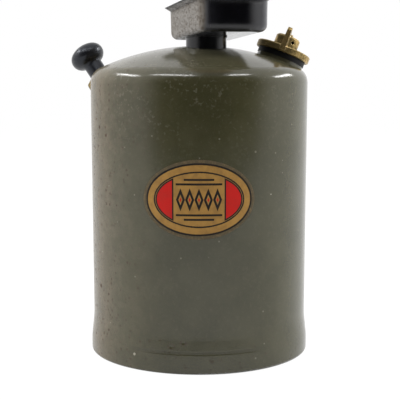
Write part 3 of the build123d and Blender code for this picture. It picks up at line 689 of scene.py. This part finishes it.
class LAMP_OT_burner(Operator):
    """Darken the burner's brass by heat"""

    bl_idname = "lamp.burner"
    bl_label = "Burner"

    def execute(self, context):
        heated = burner_brass(context.scene.lamp_metal)
        finish(["burner_body", "vaporiser_tube", "gland_nut"], heated)
        return {"FINISHED"}


def burner_brass(metal):
    """Brass that darkens towards the flame."""
    shader = Shader("burner_brass")
    ahead = shader.along(FLAME_ORIGIN, FLAME_AXIS)
    cloud = shader.noise(6.0, 5.0, 0.65)
    fine = shader.noise(0.7, 4.0, 0.6)
    heat = ((ahead + (cloud - 0.5) * 30.0) / 30.0).step(-1.0, 1.2)
    edge = shader.edges(0.5, 5.0) * (0.4 + fine)
    tint = shader.painted(
        metal.brass,
        (cloud.step(0.35, 0.65) * 0.75, metal.tarnish),
        (heat * (1.0 - 0.5 * edge), metal.scorch),
    )
    rough = 0.36 + 0.2 * heat + 0.15 * fine
    normal = shader.bump(fine * 0.7 + cloud * 0.3, 0.06, shader.rounded(0.5))
    return shader.surface(Base_Color=tint, Metallic=1.0, Roughness=rough, Normal=normal)


class LAMP_OT_flame_tube(Operator):
    """Tint the flame tube by heat and soot its mouth"""

    bl_idname = "lamp.flame_tube"
    bl_label = "Flame tube"

    def execute(self, context):
        finish(["flame_tube"], heated_steel(context.scene.lamp_metal))
        return {"FINISHED"}


def heated_steel(metal):
    """Steel in its temper colours, from straw at the burner to grey at the sooty mouth."""
    shader = Shader("heated_steel")
    ahead = shader.along(FLAME_ORIGIN, FLAME_AXIS)
    cloud = shader.noise(9.0, 4.0, 0.6)
    fine = shader.noise(0.9, 5.0, 0.7)
    heat = (ahead + (cloud - 0.5) * 26.0) / 105.0
    temper = shader.ramp(
        heat,
        (0.05, (0.36, 0.34, 0.31)),
        (0.28, (0.4, 0.3, 0.17)),
        (0.45, (0.3, 0.17, 0.1)),
        (0.58, (0.17, 0.11, 0.16)),
        (0.72, (0.12, 0.15, 0.23)),
        (0.9, (0.2, 0.19, 0.185)),
    )
    soot = (heat.step(0.8, 1.02) * fine.step(0.3, 0.62)).lower(1.0)
    rust = shader.noise(3.0, 5.0, 0.7).step(0.58, 0.7)
    tint = shader.painted(
        temper,
        (soot * 0.85, metal.soot),
        (rust * 0.5, metal.rust),
        (shader.edges(0.4, 5.0) * 0.5, metal.steel),
    )
    rough = 0.34 + 0.35 * soot + 0.3 * rust + 0.12 * fine
    normal = shader.bump(fine * 0.5 + rust * 0.4, 0.04, shader.rounded(0.3))
    shine = 1.0 - 0.8 * soot
    return shader.surface(Base_Color=tint, Metallic=shine, Roughness=rough, Normal=normal)


class LAMP_OT_steel_hardware(Operator):
    """Finish screws, nuts, washers, rods and springs as bare steel"""

    bl_idname = "lamp.steel_hardware"
    bl_label = "Steel hardware"

    def execute(self, context):
        finish(
            [
                "stem_washer",
                "flame_tube_screws",
                "valve_spindle",
                "wheel_screw",
                "riser_tube",
                "relief_spring",
                "pump_rod",
                "check_spring",
                "handle_rod",
                "handle_washers",
                "handle_nuts",
            ],
            plain_steel(context.scene.lamp_metal),
        )
        return {"FINISHED"}


def plain_steel(metal):
    """Bare steel with spots of rust."""
    shader = Shader("plain_steel")
    fine = shader.noise(0.6, 5.0, 0.7)
    rust = shader.noise(2.4, 5.0, 0.7).step(0.56, 0.72)
    tint = shader.painted(
        metal.steel,
        (fine.step(0.3, 0.8) * 0.4, metal.dull_steel),
        (rust * 0.55, metal.rust),
    )
    rough = 0.32 + 0.18 * fine + 0.3 * rust
    normal = shader.bump(fine, 0.03, shader.rounded(0.2))
    shine = 1.0 - 0.5 * rust
    return shader.surface(Base_Color=tint, Metallic=shine, Roughness=rough, Normal=normal)


class LAMP_OT_mouldings(Operator):
    """Finish the pump's knob and the valve's wheel as glossy black mouldings"""

    bl_idname = "lamp.mouldings"
    bl_label = "Mouldings"

    def execute(self, context):
        finish(["pump_knob", "valve_wheel"], black_bakelite(context.scene.lamp_soft))
        return {"FINISHED"}


def black_bakelite(soft):
    """Glossy black moulding with faint clouds and rubbed edges."""
    shader = Shader("black_bakelite")
    cloud = shader.noise(4.0, 4.0, 0.6)
    scratch = shader.noise(0.5, 3.0, 0.6, where=shader.place(stretch=(1.0, 0.2, 1.0)))
    worn = shader.edges(0.5, 4.0) * scratch.step(0.4, 0.7)
    tint = shader.painted(
        soft.bakelite, (cloud.step(0.4, 0.7) * 0.5, soft.bloom), (worn * 0.4, soft.rubbed)
    )
    rough = 0.27 + 0.06 * cloud + 0.2 * worn
    normal = shader.bump(scratch * 0.4 + cloud * 0.6, 0.01, shader.rounded(2.0))
    blue_gloss = (0.85, 0.9, 1.0)
    return shader.surface(
        Base_Color=tint, Roughness=rough, Normal=normal, Specular_Tint=blue_gloss
    )


class LAMP_OT_grip(Operator):
    """Finish the grip as turned and varnished hardwood"""

    bl_idname = "lamp.grip"
    bl_label = "Wooden grip"

    def execute(self, context):
        finish(["handle_grip"], turned_wood(context.scene.lamp_soft))
        return {"FINISHED"}


def turned_wood(soft):
    """Hardwood with its grain along the grip, and varnish worn off in patches."""
    shader = Shader("turned_wood")
    low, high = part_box("handle_grip")
    fibre = shader.place(stretch=(1.0, 1.0, 0.06), origin=(low + high) / 2 / MM)
    rings = shader.noise(3.2, 3.0, 0.5, 1.2, fibre)
    pores = shader.noise(0.5, 2.0, 0.5, 0.0, shader.place(stretch=(1.0, 1.0, 0.08)))
    open_pores = pores.step(0.58, 0.72)
    worn = shader.noise(14.0, 4.0, 0.6).step(0.52, 0.7)
    tint = shader.painted(
        soft.wood,
        (rings.step(0.38, 0.62), soft.grain),
        (open_pores * 0.7, soft.pores),
        (worn * 0.35, soft.worn_wood),
    )
    rough = 0.3 + 0.25 * worn + 0.1 * pores
    normal = shader.bump(open_pores * -0.6 + rings * 0.3, 0.05, shader.rounded(0.4))
    varnish = 0.4 - 0.3 * worn
    return shader.surface(Base_Color=tint, Roughness=rough, Normal=normal, Coat_Weight=varnish)


class LAMP_OT_seals(Operator):
    """Finish the gaskets, the leather cup, the wick and the gland's packing"""

    bl_idname = "lamp.seals"
    bl_label = "Seals and wick"

    def execute(self, context):
        soft = context.scene.lamp_soft
        rubbers = ["filler_gasket", "pump_gasket", "check_disc"]
        finish(rubbers, soft_material("black_rubber", soft.rubber, 0.7, 0.5, 0.03))
        finish(["plunger_cup"], soft_material("cup_leather", soft.leather, 0.5, 0.45, 0.06))
        finish(["riser_wick"], soft_material("cotton_wick", soft.cotton, 0.4, 0.85, 0.12))
        finish(["gland_packing"], soft_material("graphite_cord", soft.graphite, 0.5, 0.6, 0.08))
        return {"FINISHED"}


def soft_material(name, tint, size, rough, depth):
    """A soft material whose grain has this size and depth, in millimetres."""
    shader = Shader(name)
    grain = shader.noise(size, 4.0, 0.65)
    pale = [min(1.0, 1.8 * part) for part in tint]
    base = shader.mix(grain.step(0.35, 0.7) * 0.5, tint, pale)
    normal = shader.bump(grain, depth, shader.rounded(0.3))
    rough = rough + 0.15 * grain
    return shader.surface(Base_Color=base, Roughness=rough, Normal=normal, IOR=1.35)


class LAMP_OT_front_decal(Operator):
    """Make the printed oval decal on the tank's front"""

    bl_idname = "lamp.front_decal"
    bl_label = "Front decal"

    def execute(self, context):
        settings = context.scene.lamp_decal
        film = wall_film(settings)
        trim_to_oval(film, settings)
        bpy.ops.object.shade_smooth_by_angle(angle=math.radians(40))
        film.data.materials.clear()
        film.data.materials.append(decal_print(settings, context.scene.lamp_paint))
        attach(film, "lamp")
        return {"FINISHED"}


def wall_film(settings):
    """A strip of film round the front of the tank's wall, taller than the decal."""
    glue, spare, front_share = 0.00003, 0.0064, 0.8
    bpy.ops.object.select_all(action="DESELECT")
    bpy.ops.mesh.primitive_cylinder_add(
        vertices=480,
        radius=TANK_RADIUS + glue,
        depth=settings.height + spare,
        end_fill_type="NOTHING",
        location=(0.0, 0.0, settings.centre),
    )
    film = bpy.context.object
    film.name = "front_decal"
    bpy.ops.object.transform_apply()
    bpy.ops.object.mode_set(mode="EDIT")
    bpy.ops.mesh.select_mode(type="FACE")
    bpy.ops.mesh.select_all(action="DESELECT")
    bpy.ops.object.mode_set(mode="OBJECT")
    for face in film.data.polygons:
        face.select = face.center.y > -TANK_RADIUS * front_share
    bpy.ops.object.mode_set(mode="EDIT")
    bpy.ops.mesh.delete(type="FACE")
    bpy.ops.object.mode_set(mode="OBJECT")
    thicken = film.modifiers.new("film", "SOLIDIFY")
    thicken.thickness, thicken.offset = settings.thickness, 1.0
    bpy.ops.object.modifier_apply(modifier="film")
    return film


def trim_to_oval(film, settings):
    """Cuts the film to an oval with a bare margin round the print."""
    margin, cutter_depth = 0.0016, 0.04
    bpy.ops.mesh.primitive_cylinder_add(
        vertices=160,
        radius=0.5,
        depth=cutter_depth,
        location=(0.0, -TANK_RADIUS, settings.centre),
        rotation=(math.pi / 2, 0.0, 0.0),
    )
    cutter = bpy.context.object
    chord = 2 * TANK_RADIUS * math.sin((settings.width / 2 + margin) / TANK_RADIUS)
    cutter.scale = (chord, settings.height + 2 * margin, 1.0)
    bpy.ops.object.transform_apply()
    bpy.ops.object.select_all(action="DESELECT")
    film.select_set(True)
    bpy.context.view_layer.objects.active = film
    cut = film.modifiers.new("outline", "BOOLEAN")
    cut.operation, cut.object, cut.solver = "INTERSECT", cutter, "EXACT"
    bpy.ops.object.modifier_apply(modifier="outline")
    bpy.data.objects.remove(cutter)


def decal_print(settings, paint):
    """A gold oval with red ends and a row of lozenges, printed in keyed black."""
    shader = Shader("decal_print")
    x, y, z = shader.axes()
    across = x.math("ARCTAN2", x, -y) * (TANK_RADIUS / MM)
    up = z - settings.centre / MM
    inside = inside_oval(settings, across, up) + (shader.noise(0.8, 4.0, 0.7) - 0.5) * 0.35
    gold = shader.mix(
        shader.noise(3.0, 4.0, 0.6).step(0.35, 0.7) * 0.35, settings.gold, settings.dull_gold
    )
    bare_film = shader.mix(
        shader.noise(1.2, 4.0, 0.7).step(0.45, 0.7) * 0.6, settings.film, settings.yellowed
    )
    rub = shader.noise(1.0, 5.0, 0.75)
    chips = rub.step(0.66, 0.7) * (0.35 + 0.65 * (-across).step(8.0, 24.0))
    chips = (chips + shader.dots(4.0, 0.35, 0.2)).lower(1.0)
    grime = shader.noise(6.0, 4.0, 0.6).step(0.4, 0.75)
    key_line = 4.2
    tint = shader.painted(
        gold,
        (inside.band(key_line, 0.3, 0.12), settings.ink),
        *red_ends(settings, across, inside),
        *lozenge_row(settings, across, up, gold),
        (inside.step(0.95, 0.75), settings.ink),
        (inside.step(0.05, -0.1), bare_film),
        (chips * 0.8, paint.faded),
        (grime * 0.22, settings.grime),
    )
    rough = 0.34 + 0.2 * rub
    normal = shader.bump(rub * 0.4 - chips * 0.6, 0.03)
    return shader.surface(Base_Color=tint, Roughness=rough, Normal=normal, IOR=1.3)


def inside_oval(settings, across, up):
    """How far inside the oval's edge a point is, in millimetres."""
    half_wide, half_high = settings.width / 2 / MM, settings.height / 2 / MM
    norm = ((across / half_wide) ** 2.0 + (up / half_high) ** 2.0).root()
    slope = ((across / half_wide**2) ** 2.0 + (up / half_high**2) ** 2.0).root()
    return (1.0 - norm) * norm / slope.higher(0.001)


def red_ends(settings, across, inside):
    """A red field at each end of the oval in a black line."""
    field_start, field_inset = 12.2, 5.0
    field = (abs(across) - field_start).lower(inside - field_inset)
    return (field.step(-0.35, -0.15), settings.ink), (field.step(0.35, 0.55), settings.red)


def lozenge_row(settings, across, up, gold):
    """Nested lozenges side by side, with two rules above and below them."""
    half_row, half_panel, lozenges, lozenge_height = 10.8, 6.4, 5, 11.0
    panel = (half_row - abs(across)).lower(half_panel - abs(up))
    sideways = (across / (2 * half_row / lozenges)).fold(0.5)
    layers = []
    for size, tint in ((0.5, settings.ink), (0.24, gold), (0.12, settings.red)):
        lozenge = (size - sideways - abs(up) / lozenge_height).lower(panel)
        layers.append((lozenge.step(0.0, 0.025), tint))
    rule_half, rule_soft = 0.42, 0.12
    for rise, half_long in ((7.2, 10.8), (9.3, 7.0)):
        ends = abs(across).step(half_long + 0.15, half_long)
        layers.append((abs(up).band(rise, rule_half, rule_soft) * ends, settings.ink))
    return layers


SETTINGS = {
    "lamp_studio": StudioSettings,
    "lamp_paint": PaintSettings,
    "lamp_decal": DecalSettings,
    "lamp_metal": MetalSettings,
    "lamp_soft": SoftSettings,
}
OPERATORS = (
    LAMP_OT_stage,
    LAMP_OT_painted_sheet,
    LAMP_OT_dish_and_neck,
    LAMP_OT_brass_fittings,
    LAMP_OT_burner,
    LAMP_OT_flame_tube,
    LAMP_OT_steel_hardware,
    LAMP_OT_mouldings,
    LAMP_OT_grip,
    LAMP_OT_seals,
    LAMP_OT_front_decal,
)


class LAMP_PT_pieces(Panel):
    """Lists the blowlamp's steps and sizes"""

    bl_idname = "LAMP_PT_pieces"
    bl_label = "Petrol Blowlamp"
    bl_space_type = "VIEW_3D"
    bl_region_type = "UI"
    bl_category = "Blowlamp"

    def draw(self, context):
        for operator in OPERATORS:
            self.layout.operator(operator.bl_idname)
        for name, group in SETTINGS.items():
            box = self.layout.box()
            for prop in group.__annotations__:
                box.prop(getattr(context.scene, name), prop)


def register():
    for group in SETTINGS.values():
        bpy.utils.register_class(group)
    for name, group in SETTINGS.items():
        setattr(bpy.types.Scene, name, PointerProperty(type=group))
    for operator in (*OPERATORS, LAMP_PT_pieces):
        bpy.utils.register_class(operator)


def unregister():
    for operator in reversed((*OPERATORS, LAMP_PT_pieces)):
        bpy.utils.unregister_class(operator)
    for name in SETTINGS:
        delattr(bpy.types.Scene, name)
    for group in reversed(list(SETTINGS.values())):
        bpy.utils.unregister_class(group)


def main():
    register()
    for operator in OPERATORS:
        group, name = operator.bl_idname.split(".")
        getattr(getattr(bpy.ops, group), name)()


if __name__ == "__main__":
    main()
